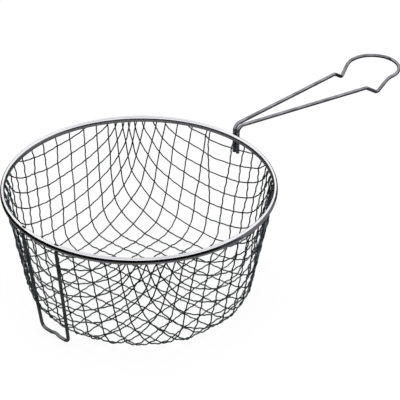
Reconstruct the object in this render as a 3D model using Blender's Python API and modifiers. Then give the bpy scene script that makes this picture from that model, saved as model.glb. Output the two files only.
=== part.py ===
"""Deep fryer basket of crimped wire cloth.

One square sheet of plain-weave wire cloth is drawn into a round tapered bowl.
Its edge is clamped in a rolled rim. A bent wire handle stands on the outside of
the rim, and a U-shaped wire leg hangs under the opposite side.

Metres, +Z up. The basket stands on Z = 0, and the handle points along +X.
"""
import math

import bpy
from mathutils import Matrix, Vector

# Rim: a strip rolled into a bead that is open along its underside
RIM_DIAMETER = 0.2007
BEAD_DIAMETER = 0.0052
BEAD_SHEET = 0.0006

# Bowl, measured to the middle of the cloth
BOWL_DEPTH = 0.0882
WALL_LEAN = math.radians(10.65)
CORNER_RADIUS = 0.0216

# Wire cloth: the shifts go from the bowl's axis to the next wire. Forming dragged the
# cloth clockwise round the bowl, by these angles at its edge, on the +X and +Y sides.
MESH_WIRE = 0.0010
MESH_PITCH = 0.0127
NET_TURN = math.radians(5.7)
NET_SHIFT_X = 0.0058
NET_SHIFT_Y = 0.0051
NET_DRAG_X = math.radians(2.0)
NET_DRAG_Y = math.radians(6.4)
WIRE_END_PAST_BEAD_CENTRE = 0.0003

# Lock of the cloth: in the four corners of the wall the wires jam before the diamonds
# close. There the crossings spread by a share of their distance from the corner's
# middle, the more so the higher they are, and ride a little higher up the wall.
LOCK_SPREAD = 0.85
LOCK_ONSET_POWER = 1.6
LOCK_WIDTH = math.radians(7.8)
LOCK_RISE = 0.0030
LOCK_RISE_WIDTH = math.radians(25)

# The wires are drawn tight over the rounding, which takes up this much of their length,
# so that every crossing on the wall lies lower by it.
WALL_TAKE_UP = 0.0020

# Handle: one wire, bent to a neck, two arms, a dip in each and a round grip
HANDLE_WIRE = 0.0030
NECK_SPACING = 0.0045
NECK_DROP = 0.0142
NECK_RISE = 0.0089
NECK_BEND = 0.0050
ARM_LENGTH = 0.1361
ARM_DROP = 0.0129
KNEE_WIDTH = 0.0338
KNEE_BEND = 0.0040
DIP_LENGTH = 0.0186
DIP_LEAD = 0.0073
DIP_DEPTH = 0.0089
DIP_BEND = 0.0030
GRIP_RISE = 0.0018
GRIP_RADIUS = 0.0206
GRIP_LENGTH = 0.0275

# Leg: one wire, bent to a U that stands clear of the cloth, with a low arch in its bar
LEG_WIRE = 0.0025
LEG_TOP_WIDTH = 0.0325
LEG_FOOT_WIDTH = 0.0278
LEG_STANDOFF = 0.0053
LEG_BEND = 0.0045
LEG_ARCH_WIDTH = 0.0090
LEG_ARCH_RISE = 0.0013

# Fits: pieces that touch keep SEAT_GAP, and the bead's lips stay off the cloth
SEAT_GAP = 0.0003
SLOT_GAP = 0.00045

# Facets
MESH_WIRE_SIDES = 4
ROD_SIDES = 8
RIM_STEPS = 60
BEAD_ARC_STEPS = 9
BEND_STEP = math.radians(22.5)

# Values worked out from the sizes above
CRIMP = (MESH_WIRE + SEAT_GAP) / 2
CLOTH_REACH = CRIMP + MESH_WIRE / 2
FLOOR_HEIGHT = CLOTH_REACH
RIM_HEIGHT = FLOOR_HEIGHT + BOWL_DEPTH
BEAD_RADIUS = BEAD_DIAMETER / 2
BEAD_RING = RIM_DIAMETER / 2 - BEAD_RADIUS
FOOT_RADIUS = BEAD_RING - BOWL_DEPTH * math.tan(WALL_LEAN)
CORNER_TURN = math.pi / 2 - WALL_LEAN
FLOOR_RUN = FOOT_RADIUS - CORNER_RADIUS * math.tan(CORNER_TURN / 2)
CORNER_END_RUN = FLOOR_RUN + CORNER_RADIUS * CORNER_TURN
CORNER_RISE = CORNER_RADIUS * (1 - math.cos(CORNER_TURN))
CLOTH_TOP = RIM_HEIGHT + WIRE_END_PAST_BEAD_CENTRE
TOP_RUN = CORNER_END_RUN + (CLOTH_TOP - FLOOR_HEIGHT - CORNER_RISE) / math.sin(CORNER_TURN)
NET_REACH = TOP_RUN + WALL_TAKE_UP
NECK_RING = RIM_DIAMETER / 2 + SEAT_GAP + HANDLE_WIRE / 2
NECK_X = math.sqrt(NECK_RING ** 2 - (NECK_SPACING / 2) ** 2)
GRIP_END = NECK_X + ARM_LENGTH + DIP_LENGTH + GRIP_LENGTH
BASKET_MIDDLE = (GRIP_END + HANDLE_WIRE / 2 - RIM_DIAMETER / 2) / 2

NEWTON_ROUNDS = 12
FEWEST_CROSSINGS = 3
SAME_PLACE = 0.00005

# Start from an empty scene
for old in list(bpy.data.objects):
    bpy.data.objects.remove(old, do_unlink=True)

basket = bpy.data.collections.new("fryer_basket")
bpy.context.scene.collection.children.link(basket)

# The pieces are drawn round the bowl's axis. This empty carries them, and puts
# the origin under the middle of the basket with its handle.
bowl_axis = bpy.data.objects.new("bowl_axis", None)
bowl_axis.location = (-BASKET_MIDDLE, 0, 0)
basket.objects.link(bowl_axis)


def metal(name, colour, roughness):
    """Return a metal with the given base colour."""
    material = bpy.data.materials.new(name)
    material.use_nodes = True
    shader = material.node_tree.nodes["Principled BSDF"]
    shader.inputs["Base Color"].default_value = (*colour, 1)
    shader.inputs["Metallic"].default_value = 1
    shader.inputs["Roughness"].default_value = roughness
    material.diffuse_color = (*colour, 1)
    return material


def add_piece(name, data, material):
    """Put a mesh or curve on the bowl's axis as one named piece."""
    data.materials.append(material)
    piece = bpy.data.objects.new(name, data)
    basket.objects.link(piece)
    piece.parent = bowl_axis
    return piece


def add_wire(name, path, diameter, sides, material, tilt=0.0):
    """Add one round wire along a path. Its number of sides is even, 4 or more."""
    curve = bpy.data.curves.new(name, "CURVE")
    curve.dimensions = "3D"
    curve.twist_mode = "Z_UP" if tilt else "MINIMUM"
    curve.bevel_depth = diameter / 2
    curve.bevel_resolution = sides // 2 - 2
    curve.use_fill_caps = True
    spline = curve.splines.new("POLY")
    spline.points.add(len(path) - 1)
    for point, place in zip(spline.points, path):
        point.co = (*place, 1)
        point.tilt = tilt
    return add_piece(name, curve, material)


def bend(corners):
    """Return the centre line of a wire bent at (place, bend radius) corners."""
    path = [corners[0][0]]
    for (before, _), (corner, radius), (after, _) in zip(corners, corners[1:], corners[2:]):
        into = (corner - before).normalized()
        away = (after - corner).normalized()
        turn = into.angle(away)
        inward = (away - into * into.dot(away)).normalized()
        centre = corner - into * radius * math.tan(turn / 2) + inward * radius
        steps = max(2, math.ceil(turn / BEND_STEP))
        for step in range(steps + 1):
            angle = turn * step / steps
            place = centre + (into * math.sin(angle) - inward * math.cos(angle)) * radius
            if (place - path[-1]).length > SAME_PLACE:
                path.append(place)
    path.append(corners[-1][0])
    return path


def mirrored(half):
    """Return corners from one end to the other of a wire that is the same on both sides."""
    other = [(Vector((place.x, -place.y, place.z)), radius) for place, radius in reversed(half)]
    if half[-1][0].y == 0:
        other = other[1:]
    return half + other


# Bowl: every point of the cloth is known by its run, which is the length along the
# profile from the middle of the floor, and by its angle round the axis.

def profile(run):
    """Return the radius, height and slope of the middle of the cloth at a run."""
    slope = min(max((run - FLOOR_RUN) / CORNER_RADIUS, 0), CORNER_TURN)
    wall = max(run - CORNER_END_RUN, 0)
    radius = min(run, FLOOR_RUN) + CORNER_RADIUS * math.sin(slope) + wall * math.cos(slope)
    height = FLOOR_HEIGHT + CORNER_RADIUS * (1 - math.cos(slope)) + wall * math.sin(slope)
    return radius, height, slope


def on_cloth(run, angle, offset=0.0):
    """Return the place at a run and an angle, offset outwards from the middle of the cloth."""
    radius, height, slope = profile(run)
    radius += offset * math.sin(slope)
    return Vector((radius * math.cos(angle), radius * math.sin(angle), height - offset * math.cos(slope)))


# Net: wires do not stretch, so each crossing first lies one cell side from the crossing
# before it along both wires. Where the flat sheet turns up into the wall, the square
# cells lean into narrow diamonds between the four directions of the wires. The lock of
# the cloth then opens the narrowest ones.

def next_crossing(back_x, back_y, corner, side_x, side_y):
    """Return (run, angle) of the crossing that lies side_x from back_x and side_y from back_y."""
    near_x = on_cloth(*back_x)
    near_y = on_cloth(*back_y)
    ahead = near_x + near_y - on_cloth(*corner)
    run = back_x[0] + back_y[0] - corner[0]
    angle = math.atan2(ahead.y, ahead.x)
    for _ in range(NEWTON_ROUNDS):
        radius, _height, slope = profile(run)
        place = on_cloth(run, angle)
        per_run = Vector((math.cos(slope) * math.cos(angle), math.cos(slope) * math.sin(angle), math.sin(slope)))
        per_angle = Vector((-radius * math.sin(angle), radius * math.cos(angle), 0))
        from_x = place - near_x
        from_y = place - near_y
        slopes = Matrix((
            (2 * from_x.dot(per_run), 2 * from_x.dot(per_angle)),
            (2 * from_y.dot(per_run), 2 * from_y.dot(per_angle)),
        ))
        misses = Vector((from_x.length_squared - side_x ** 2, from_y.length_squared - side_y ** 2))
        step = slopes.inverted() @ misses
        run -= step.x
        angle -= step.y
    return run, angle


def way_up(run):
    """Return the share of the way from the floor's end to the cloth's edge."""
    return min(max(run - FLOOR_RUN, 0) / (TOP_RUN - FLOOR_RUN), 1)


def dragged(run, drag):
    """Return the angle by which a point at a run was dragged round, out of drag at the edge."""
    return drag * way_up(run)


def locked(run, angle, drag_x, drag_y):
    """Return where a crossing of a quarter lies once its wires are tight and have jammed."""
    share = way_up(run)
    corner_middle = math.pi / 4 + dragged(run, (drag_x + drag_y) / 2)
    off = angle - corner_middle
    spread = LOCK_SPREAD * share ** LOCK_ONSET_POWER * off * math.exp(-(off / LOCK_WIDTH) ** 2)
    rise = LOCK_RISE * 4 * share * (1 - share) * math.exp(-(off / LOCK_RISE_WIDTH) ** 2)
    round_share = min(max(run - FLOOR_RUN, 0) / (CORNER_END_RUN - FLOOR_RUN), 1)
    return run + rise - WALL_TAKE_UP * round_share, angle + spread


def quarter_net(first_x, first_y, drag_x, drag_y):
    """Return the crossings of a quarter of the net, {(m, n): (run, angle)}.

    Row 0 and column 0 lie on the quarter's edges, where there is no wire. The first
    wires lie first_x and first_y from them.
    """
    count = math.ceil(NET_REACH / MESH_PITCH) + 1
    sides_x = [0, first_x] + [MESH_PITCH] * count
    sides_y = [0, first_y] + [MESH_PITCH] * count
    net = {(0, 0): (0.0, 0.0)}
    for m in range(1, count + 1):
        run_x = net[m - 1, 0][0] + sides_x[m]
        run_y = net[0, m - 1][0] + sides_y[m]
        net[m, 0] = (run_x, dragged(run_x, drag_x))
        net[0, m] = (run_y, math.pi / 2 + dragged(run_y, drag_y))
    for m in range(1, count + 1):
        for n in range(1, count + 1):
            back_x = net.get((m - 1, n))
            back_y = net.get((m, n - 1))
            if back_x and back_y and min(back_x[0], back_y[0]) < NET_REACH:
                corner = net[m - 1, n - 1]
                net[m, n] = next_crossing(back_x, back_y, corner, sides_x[m], sides_y[n])
    return {place: locked(run, angle, drag_x, drag_y) for place, (run, angle) in net.items()}


quarters = {
    (1, 1): quarter_net(NET_SHIFT_X, NET_SHIFT_Y, -NET_DRAG_X, -NET_DRAG_Y),
    (-1, 1): quarter_net(MESH_PITCH - NET_SHIFT_X, NET_SHIFT_Y, 0, NET_DRAG_Y),
    (1, -1): quarter_net(NET_SHIFT_X, MESH_PITCH - NET_SHIFT_Y, NET_DRAG_X, 0),
    (-1, -1): quarter_net(MESH_PITCH - NET_SHIFT_X, MESH_PITCH - NET_SHIFT_Y, 0, 0),
}


def in_place(side_x, side_y, run, angle, offset):
    """Return a place of a quarter in the whole bowl, with the net turned to the handle."""
    place = on_cloth(run, angle, offset)
    turned = Matrix.Rotation(NET_TURN, 3, "Z")
    return turned @ Vector((side_x * place.x, side_y * place.y, place.z))


def passes_outside(side_x, m, side_y, n):
    """Tell whether the wire along X lies outside the other one at a crossing."""
    number_x = m if side_x > 0 else 1 - m
    number_y = n if side_y > 0 else 1 - n
    return (number_x + number_y) % 2 == 0


def half_wire(side_x, side_y, fixed, along_x):
    """Return half a wire of a quarter, from its first crossing to its end in the bead."""
    net = quarters[side_x, side_y]
    path = []
    run, angle = net[0, fixed] if along_x else net[fixed, 0]
    offset = 0.0
    step = 0
    while run < TOP_RUN:
        last_run, last_angle, last_offset = run, angle, offset
        step += 1
        m, n = (step, fixed) if along_x else (fixed, step)
        run, angle = net[m, n]
        offset = CRIMP if passes_outside(side_x, m, side_y, n) == along_x else -CRIMP
        if run < TOP_RUN:
            path.append(in_place(side_x, side_y, run, angle, offset))
        else:
            share = (TOP_RUN - last_run) / (run - last_run)
            end_angle = last_angle + share * (angle - last_angle)
            end_offset = last_offset + share * (offset - last_offset)
            path.append(in_place(side_x, side_y, TOP_RUN, end_angle, end_offset))
    return path


def cloth_wires(along_x):
    """Return the paths of every wire that runs one way, from one side to the other."""
    paths = []
    rows = max(m for m, _ in quarters[1, 1])
    for side, fixed in [(-1, n) for n in range(rows, 0, -1)] + [(1, n) for n in range(1, rows + 1)]:
        ends = [(end, side) if along_x else (side, end) for end in (-1, 1)]
        back, ahead = [half_wire(*sides, fixed, along_x) for sides in ends]
        if len(back) + len(ahead) >= FEWEST_CROSSINGS + 2:
            paths.append(back[::-1] + ahead)
    return paths


tinned_wire = metal("tinned_wire", (0.36, 0.38, 0.38), 0.35)
for family, along_x in (("warp", True), ("weft", False)):
    for number, path in enumerate(cloth_wires(along_x), 1):
        add_wire(f"{family}_wire_{number:02d}", path, MESH_WIRE, MESH_WIRE_SIDES, tinned_wire)


# Rim: the bead's section is turned round the axis. Its slot faces down the wall, so
# that the ends of the cloth run straight into it.

def bead_section():
    """Return the section as (radius, height), down its outer side and back up inside."""
    slot_half = math.asin((CLOTH_REACH + SLOT_GAP) / (BEAD_RADIUS - BEAD_SHEET / 2))
    slot = -math.pi / 2 - WALL_LEAN
    first = slot + 2 * math.pi - slot_half
    last = slot + slot_half
    angles = [first + (last - first) * step / BEAD_ARC_STEPS for step in range(BEAD_ARC_STEPS + 1)]
    outer = [(BEAD_RADIUS, angle) for angle in angles]
    inner = [(BEAD_RADIUS - BEAD_SHEET, angle) for angle in reversed(angles)]
    return [(BEAD_RING + size * math.cos(angle), size * math.sin(angle)) for size, angle in outer + inner]


section = bead_section()
section_mesh = bpy.data.meshes.new("rolled_rim")
section_mesh.from_pydata(
    [(radius, 0, RIM_HEIGHT + height) for radius, height in section],
    [(index, (index + 1) % len(section)) for index in range(len(section))],
    [],
)
rim = add_piece("rolled_rim", section_mesh, metal("polished_strip", (0.75, 0.75, 0.77), 0.12))
turned = rim.modifiers.new("turned", "SCREW")
turned.axis = "Z"
turned.angle = 2 * math.pi
turned.steps = RIM_STEPS
turned.render_steps = RIM_STEPS
turned.use_merge_vertices = True
turned.merge_threshold = 0.00001
turned.use_smooth_shade = True


# Handle: it starts on the outside of the bead, level with the cloth, and rises
# past the bead before it turns outwards.
knee_height = RIM_HEIGHT + NECK_RISE - ARM_DROP
grip_height = knee_height + GRIP_RISE
knee_x = NECK_X + ARM_LENGTH
dip_width = KNEE_WIDTH + (2 * GRIP_RADIUS - KNEE_WIDTH) * DIP_LEAD / DIP_LENGTH
handle_half = [
    (Vector((NECK_X, NECK_SPACING / 2, RIM_HEIGHT - NECK_DROP)), 0),
    (Vector((NECK_X, NECK_SPACING / 2, RIM_HEIGHT + NECK_RISE)), NECK_BEND),
    (Vector((knee_x, KNEE_WIDTH / 2, knee_height)), KNEE_BEND),
    (Vector((knee_x + DIP_LEAD, dip_width / 2, knee_height - DIP_DEPTH)), DIP_BEND),
    (Vector((knee_x + DIP_LENGTH, GRIP_RADIUS, grip_height)), KNEE_BEND),
    (Vector((GRIP_END, GRIP_RADIUS, grip_height)), GRIP_RADIUS),
]
handle_metal = metal("plated_handle_wire", (0.55, 0.55, 0.56), 0.20)
add_wire("handle", bend(mirrored(handle_half)), HANDLE_WIRE, ROD_SIDES, handle_metal)


# Leg: its ends sit under the bead, and its bar stands on the table with the cloth.
# Half a side's turn lays one of the wire's flats along the underside of the bar.
leg_flat = math.pi / ROD_SIDES
bar_height = LEG_WIRE / 2 * math.cos(leg_flat)
leg_reach = (CLOTH_REACH + SEAT_GAP + LEG_WIRE / 2) / math.cos(WALL_LEAN)
leg_ring = BEAD_RING - BEAD_RADIUS * math.tan(WALL_LEAN) + leg_reach
leg_overhang = leg_ring - LEG_WIRE / 2 - BEAD_RING
leg_top = RIM_HEIGHT - math.sqrt((BEAD_RADIUS + SEAT_GAP) ** 2 - leg_overhang ** 2)
leg_top_x = -math.sqrt(leg_ring ** 2 - (LEG_TOP_WIDTH / 2) ** 2)
bar_x = -(FOOT_RADIUS + LEG_STANDOFF)
leg_half = [
    (Vector((leg_top_x, LEG_TOP_WIDTH / 2, leg_top)), 0),
    (Vector((bar_x, LEG_FOOT_WIDTH / 2, bar_height)), LEG_BEND),
    (Vector((bar_x, LEG_ARCH_WIDTH / 2, bar_height)), LEG_BEND),
    (Vector((bar_x, 0, bar_height + LEG_ARCH_RISE)), LEG_BEND),
]
leg_metal = metal("plated_leg_wire", (0.50, 0.51, 0.51), 0.25)
add_wire("draining_leg", bend(mirrored(leg_half)), LEG_WIRE, ROD_SIDES, leg_metal, leg_flat)
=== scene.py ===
# %% [markdown]
# # A deep fryer basket, dressed on its CAD frame
#
# The basket is one sheet of crimped wire cloth, drawn into a round bowl. A strip of polished
# metal is rolled over its edge, a bent wire handle is welded to the outside of that rim, and
# a wire leg hangs under the other side, so that the basket can drain on a slope.
#
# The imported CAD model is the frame. Every piece below stands where a CAD piece stands, and
# shows it finer: round wires in place of four-sided ones, and smooth bends. A few sizes are
# a millimetre or two nearer to the photograph than the CAD's, and the text says which.

# %% Load the frame
import math

import bmesh
import bpy
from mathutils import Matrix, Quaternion, Vector, kdtree, noise


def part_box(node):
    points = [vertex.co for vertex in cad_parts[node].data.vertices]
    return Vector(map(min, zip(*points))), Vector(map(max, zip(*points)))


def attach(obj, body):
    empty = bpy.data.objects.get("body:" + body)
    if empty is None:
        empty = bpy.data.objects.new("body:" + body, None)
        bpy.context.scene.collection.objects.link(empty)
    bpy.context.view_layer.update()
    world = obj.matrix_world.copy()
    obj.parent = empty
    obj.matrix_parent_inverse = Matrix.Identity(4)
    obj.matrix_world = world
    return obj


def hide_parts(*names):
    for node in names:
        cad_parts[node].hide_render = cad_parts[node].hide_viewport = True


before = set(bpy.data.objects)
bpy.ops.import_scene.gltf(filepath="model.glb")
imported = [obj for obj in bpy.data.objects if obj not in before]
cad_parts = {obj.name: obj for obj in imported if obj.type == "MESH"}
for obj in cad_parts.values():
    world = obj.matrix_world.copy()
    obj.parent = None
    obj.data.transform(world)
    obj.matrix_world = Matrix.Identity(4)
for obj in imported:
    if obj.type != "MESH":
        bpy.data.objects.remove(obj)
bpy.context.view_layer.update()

scene = bpy.context.scene

# %% [markdown]
# ## Small helpers
#
# Colours are picked as sRGB hex values, as on a screen, and Blender's shaders want linear
# light, so one function turns them. Another one adds a node with its settings and links.
# It serves materials and geometry trees alike, because both are made of nodes. The last two
# give a material or the world an empty tree, and put a mesh, lamp or camera in the scene.

# %% Colour, node and scene helpers
def linear(hex_colour):
    """Return the linear RGBA of an sRGB hex colour such as #6f7472."""
    colour = []
    for place in (1, 3, 5):
        share = int(hex_colour[place:place + 2], 16) / 255
        colour.append(share / 12.92 if share < 0.04045 else ((share + 0.055) / 1.055) ** 2.4)
    return colour + [1]


def add_node(tree, kind, inputs=None, **settings):
    """Add a node, set its properties, and set or link its inputs."""
    node = tree.nodes.new(kind)
    for name, value in settings.items():
        setattr(node, name, value)
    for key, value in (inputs or {}).items():
        if isinstance(value, bpy.types.NodeSocket):
            tree.links.new(value, node.inputs[key])
        else:
            node.inputs[key].default_value = value
    return node


def empty_tree(owner):
    """Switch on the nodes of a material or the world, and return its tree with none in it."""
    owner.use_nodes = True
    owner.node_tree.nodes.clear()
    return owner.node_tree


def put_in_scene(name, data):
    """Make an object of a mesh, lamp or camera, and link it to the scene."""
    thing = bpy.data.objects.new(name, data)
    scene.collection.objects.link(thing)
    return thing


print("half grey #808080 is", round(linear("#808080")[0], 3), "in linear light")

# %% [markdown]
# A geometry tree is a small machine with named sizes on its front. It is built once in the
# script, and a modifier then runs it on a mesh. The modifier knows each size by its
# socket's identifier, so the helper looks that up before the object is evaluated. The
# result is copied out as a plain mesh, and the modifier is taken off again.
#
# The trees that make a piece end alike, and two of them sweep a round wire along a path, so
# those endings are helpers too.

# %% Geometry tree helpers
SOCKETS = {
    "length": "NodeSocketFloat", "count": "NodeSocketInt", "finish": "NodeSocketMaterial",
}


def new_tree(name, sizes):
    """Return a geometry tree and its input sockets, with one named input for each size."""
    tree = bpy.data.node_groups.new(name, "GeometryNodeTree")
    tree.interface.new_socket("Path", in_out="INPUT", socket_type="NodeSocketGeometry")
    for label, kind in sizes.items():
        tree.interface.new_socket(label, in_out="INPUT", socket_type=SOCKETS[kind])
    tree.interface.new_socket("Piece", in_out="OUTPUT", socket_type="NodeSocketGeometry")
    return tree, tree.nodes.new("NodeGroupInput").outputs


def hand_out(tree, given, shape):
    """End a tree: make the shape smooth and real, give it its finish, and hand it out."""
    smooth = add_node(tree, "GeometryNodeSetShadeSmooth", {"Geometry": shape})
    real = add_node(tree, "GeometryNodeRealizeInstances", {
        "Geometry": smooth.outputs["Geometry"],
    })
    finished = add_node(tree, "GeometryNodeSetMaterial", {
        "Geometry": real.outputs["Geometry"], "Material": given["Finish"],
    })
    add_node(tree, "NodeGroupOutput", {"Piece": finished.outputs["Geometry"]})


def sweep_wire(tree, given, path):
    """End a tree with a round wire, which is a circle swept along a path."""
    radius = add_node(tree, "ShaderNodeMath", {
        0: given["Wire diameter"], 1: 2.0,
    }, operation="DIVIDE").outputs["Value"]
    section = add_node(tree, "GeometryNodeCurvePrimitiveCircle", {
        "Resolution": given["Wire sides"], "Radius": radius,
    }).outputs["Curve"]
    swept = add_node(tree, "GeometryNodeCurveToMesh", {
        "Curve": path, "Profile Curve": section, "Fill Caps": True,
    }).outputs["Mesh"]
    hand_out(tree, given, swept)


def run_tree(name, mesh, tree, sizes):
    """Run a tree on a mesh, and return what it makes as an object with a plain mesh."""
    piece = put_in_scene(name, mesh)
    grown = piece.modifiers.new("grown", "NODES")
    grown.node_group = tree
    for item in tree.interface.items_tree:
        if item.in_out == "INPUT" and item.name in sizes:
            grown[item.identifier] = sizes[item.name]
    evaluated = piece.evaluated_get(bpy.context.evaluated_depsgraph_get())
    made = bpy.data.meshes.new_from_object(evaluated)
    piece.modifiers.remove(grown)
    piece.data = made
    return piece


print("a tree's inputs can be:", ", ".join(SOCKETS))

# %% [markdown]
# Every finished piece rides on the basket's one body, and the CAD nodes that it stands for
# are hidden. The helper then measures it. A closed mesh has no open edges, and a volume
# above zero means that its faces point outwards.

# %% Fit and measure a piece
CUBIC_MM = 1e9


def fit_piece(piece, slot, *nodes):
    """Put a piece on the body, and hide the nodes it stands for. The slot is not used."""
    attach(piece, "root")
    if nodes:
        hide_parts(*nodes)
    look = bmesh.new()
    look.from_mesh(piece.data)
    open_edges = sum(not edge.is_manifold for edge in look.edges)
    volume = look.calc_volume(signed=True) * CUBIC_MM
    look.free()
    triangles = sum(len(face.vertices) - 2 for face in piece.data.polygons)
    print(f"{piece.name}: {triangles} triangles, {open_edges} open edges,",
          f"{volume:.0f} cubic mm")


# %% [markdown]
# ## The camera
#
# The photograph looks down at the basket by about 31 degrees, with the handle going away to
# the right. It was taken from about 1.4 m with a long lens, so the rim is almost a true
# ellipse. A 36 mm sensor with a 171 mm lens repeats that view.

# %% Camera
CAMERA_PLACE = Vector((-0.90279, -0.85082, 0.80500))
CAMERA_AIM = Vector((-0.06536, -0.03480, 0.08039))
CAMERA_ROLL = math.radians(0.19)
CAMERA_LENS_MM = 171
CAMERA_SENSOR_MM = 36

camera_data = bpy.data.cameras.new("camera")
camera_data.lens = CAMERA_LENS_MM
camera_data.sensor_width = CAMERA_SENSOR_MM
camera_data.clip_start = 0.05
camera_data.clip_end = 50
camera = put_in_scene("camera", camera_data)
camera.location = CAMERA_PLACE
camera.rotation_mode = "QUATERNION"
level = (CAMERA_AIM - CAMERA_PLACE).to_track_quat("-Z", "Y")
camera.rotation_quaternion = level @ Quaternion((0, 0, 1), CAMERA_ROLL)
scene.camera = camera
print("camera looks from", tuple(CAMERA_PLACE), "with", CAMERA_LENS_MM, "mm")

# %% [markdown]
# ## Places taken from the frame
#
# The bowl's axis is the middle of the rim's box, and the rim's height comes from the same
# box, so that the looks follow the CAD model wherever it can be measured. The CAD bead is
# round. The real one has been pressed flat on the cloth, so here it is narrower and a
# little taller, with its outer edge where the CAD's is.

# %% Sizes of the rim and the bowl
BEAD_DIAMETER = 0.0052
RIM_WIDTH = 0.0034
RIM_TALL = 0.0056
WALL_LEAN = math.radians(10.65)
BOWL_DEPTH = 0.0882

rim_low, rim_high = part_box("rolled_rim")
axis = Vector(((rim_low.x + rim_high.x) / 2, 0, 0))
rim_radius = (rim_high.x - rim_low.x) / 2
rim_height = rim_high.z - BEAD_DIAMETER / 2
bead_radius = BEAD_DIAMETER / 2
bead_ring = rim_radius - bead_radius
oval_ring = rim_radius - RIM_WIDTH / 2
foot_radius = bead_ring - BOWL_DEPTH * math.tan(WALL_LEAN)
print(f"axis x {axis.x:.5f}, rim radius {rim_radius:.5f}, rim height {rim_height:.5f}")

# %% [markdown]
# ## Finish of the cloth: hot-dip tinned steel wire
#
# The cloth is woven from steel wire and then dipped in molten tin. New tin is silvery, but
# the coat is thin and uneven, and hot oil turns it to a dull dark grey. So two greys mix in
# patches of a few millimetres, the roughness changes with them, and the surface has the
# fine unevenness of a skin of solder. The skin is drawn at 0.8 mm, coarser than the real
# one, because anything finer is lost in a picture of the whole basket.
#
# A noise hardly leaves the middle third of its range, here and below. So each patch pattern
# spreads only that third over the whole change from one grey to the other.

# %% Tinned wire
TIN_PATCH_MM = 7.0
TIN_SKIN_MM = 0.8
TIN_LIGHT, TIN_DARK = "#737b7d", "#464d50"
TIN_SMOOTH, TIN_DULL = 0.34, 0.52
TIN_SKIN_HEIGHT = 0.00008

tinned_wire = bpy.data.materials.new("hot_dip_tinned_wire")
tree = empty_tree(tinned_wire)
place = add_node(tree, "ShaderNodeTexCoord").outputs["Object"]
patch = add_node(tree, "ShaderNodeTexNoise", {
    "Vector": place, "Scale": 1000 / TIN_PATCH_MM, "Detail": 3.0,
})
dulled = add_node(tree, "ShaderNodeMapRange", {
    "Value": patch.outputs["Fac"], "From Min": 0.36, "From Max": 0.64,
}).outputs["Result"]
grey = add_node(tree, "ShaderNodeMix", {
    0: dulled, 6: linear(TIN_LIGHT), 7: linear(TIN_DARK),
}, data_type="RGBA")
rough = add_node(tree, "ShaderNodeMapRange", {
    "Value": dulled, "To Min": TIN_SMOOTH, "To Max": TIN_DULL,
})
skin = add_node(tree, "ShaderNodeTexNoise", {"Vector": place, "Scale": 1000 / TIN_SKIN_MM})
skin_bump = add_node(tree, "ShaderNodeBump", {
    "Height": skin.outputs["Fac"], "Strength": 0.35, "Distance": TIN_SKIN_HEIGHT,
})
tin = add_node(tree, "ShaderNodeBsdfPrincipled", {
    "Base Color": grey.outputs[2], "Metallic": 1.0, "Roughness": rough.outputs["Result"],
    "Normal": skin_bump.outputs["Normal"],
})
add_node(tree, "ShaderNodeOutputMaterial", {"Surface": tin.outputs["BSDF"]})
print("made", tinned_wire.name)

# %% [markdown]
# ## Finish of the rim: polished strip
#
# The rim is a strip of bright metal, rolled round the edge of the cloth in a beading
# machine. Rolling leaves hair-fine rings that run round the rim, and slow waves that make
# the reflections wander. The rings read the distance from the bowl's axis and the height,
# so they follow the bead all the way round.

# %% Polished strip
RING_MM = 0.35
WAVE_MM = 22.0
STRIP_LIGHT, STRIP_DARK = "#fafafc", "#eeeef2"
STRIP_SMOOTH, STRIP_DULL = 0.05, 0.14
RING_HEIGHT = 0.00003
WAVE_HEIGHT = 0.0006

polished_strip = bpy.data.materials.new("polished_rolled_strip")
tree = empty_tree(polished_strip)
place = add_node(tree, "ShaderNodeTexCoord").outputs["Object"]
centred = add_node(tree, "ShaderNodeMapping", {
    "Vector": place, "Location": (-axis.x, 0, 0),
}).outputs["Vector"]
parts = add_node(tree, "ShaderNodeSeparateXYZ", {"Vector": centred}).outputs
flat = add_node(tree, "ShaderNodeCombineXYZ", {"X": parts["X"], "Y": parts["Y"]})
from_axis = add_node(tree, "ShaderNodeVectorMath", {
    0: flat.outputs["Vector"],
}, operation="LENGTH").outputs["Value"]
ring_place = add_node(tree, "ShaderNodeCombineXYZ", {"X": from_axis, "Z": parts["Z"]})
rings = add_node(tree, "ShaderNodeTexNoise", {
    "Vector": ring_place.outputs["Vector"], "Scale": 1000 / RING_MM, "Detail": 2.0,
}).outputs["Fac"]
waves = add_node(tree, "ShaderNodeTexNoise", {
    "Vector": place, "Scale": 1000 / WAVE_MM, "Detail": 1.0,
}).outputs["Fac"]
wave_bump = add_node(tree, "ShaderNodeBump", {
    "Height": waves, "Strength": 0.5, "Distance": WAVE_HEIGHT,
})
ring_bump = add_node(tree, "ShaderNodeBump", {
    "Height": rings, "Strength": 0.12, "Distance": RING_HEIGHT,
    "Normal": wave_bump.outputs["Normal"],
})
shine = add_node(tree, "ShaderNodeMapRange", {
    "Value": rings, "To Min": STRIP_SMOOTH, "To Max": STRIP_DULL,
})
tone = add_node(tree, "ShaderNodeMix", {
    0: waves, 6: linear(STRIP_LIGHT), 7: linear(STRIP_DARK),
}, data_type="RGBA")
bright = add_node(tree, "ShaderNodeBsdfPrincipled", {
    "Base Color": tone.outputs[2], "Metallic": 1.0, "Roughness": shine.outputs["Result"],
    "Normal": ring_bump.outputs["Normal"],
})
add_node(tree, "ShaderNodeOutputMaterial", {"Surface": bright.outputs["BSDF"]})
print("made", polished_strip.name)

# %% [markdown]
# ## Finish of the handle and the leg: nickel-plated drawn wire
#
# Wire is drawn through a die, which leaves fine scratches along it, and plating then makes
# it bright without hiding them. The leg is plated the same way but sits in the oil, so it
# is a shade darker and rougher. One loop makes both, because only their values differ: a
# light and a dark colour, and the roughness of each.

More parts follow.
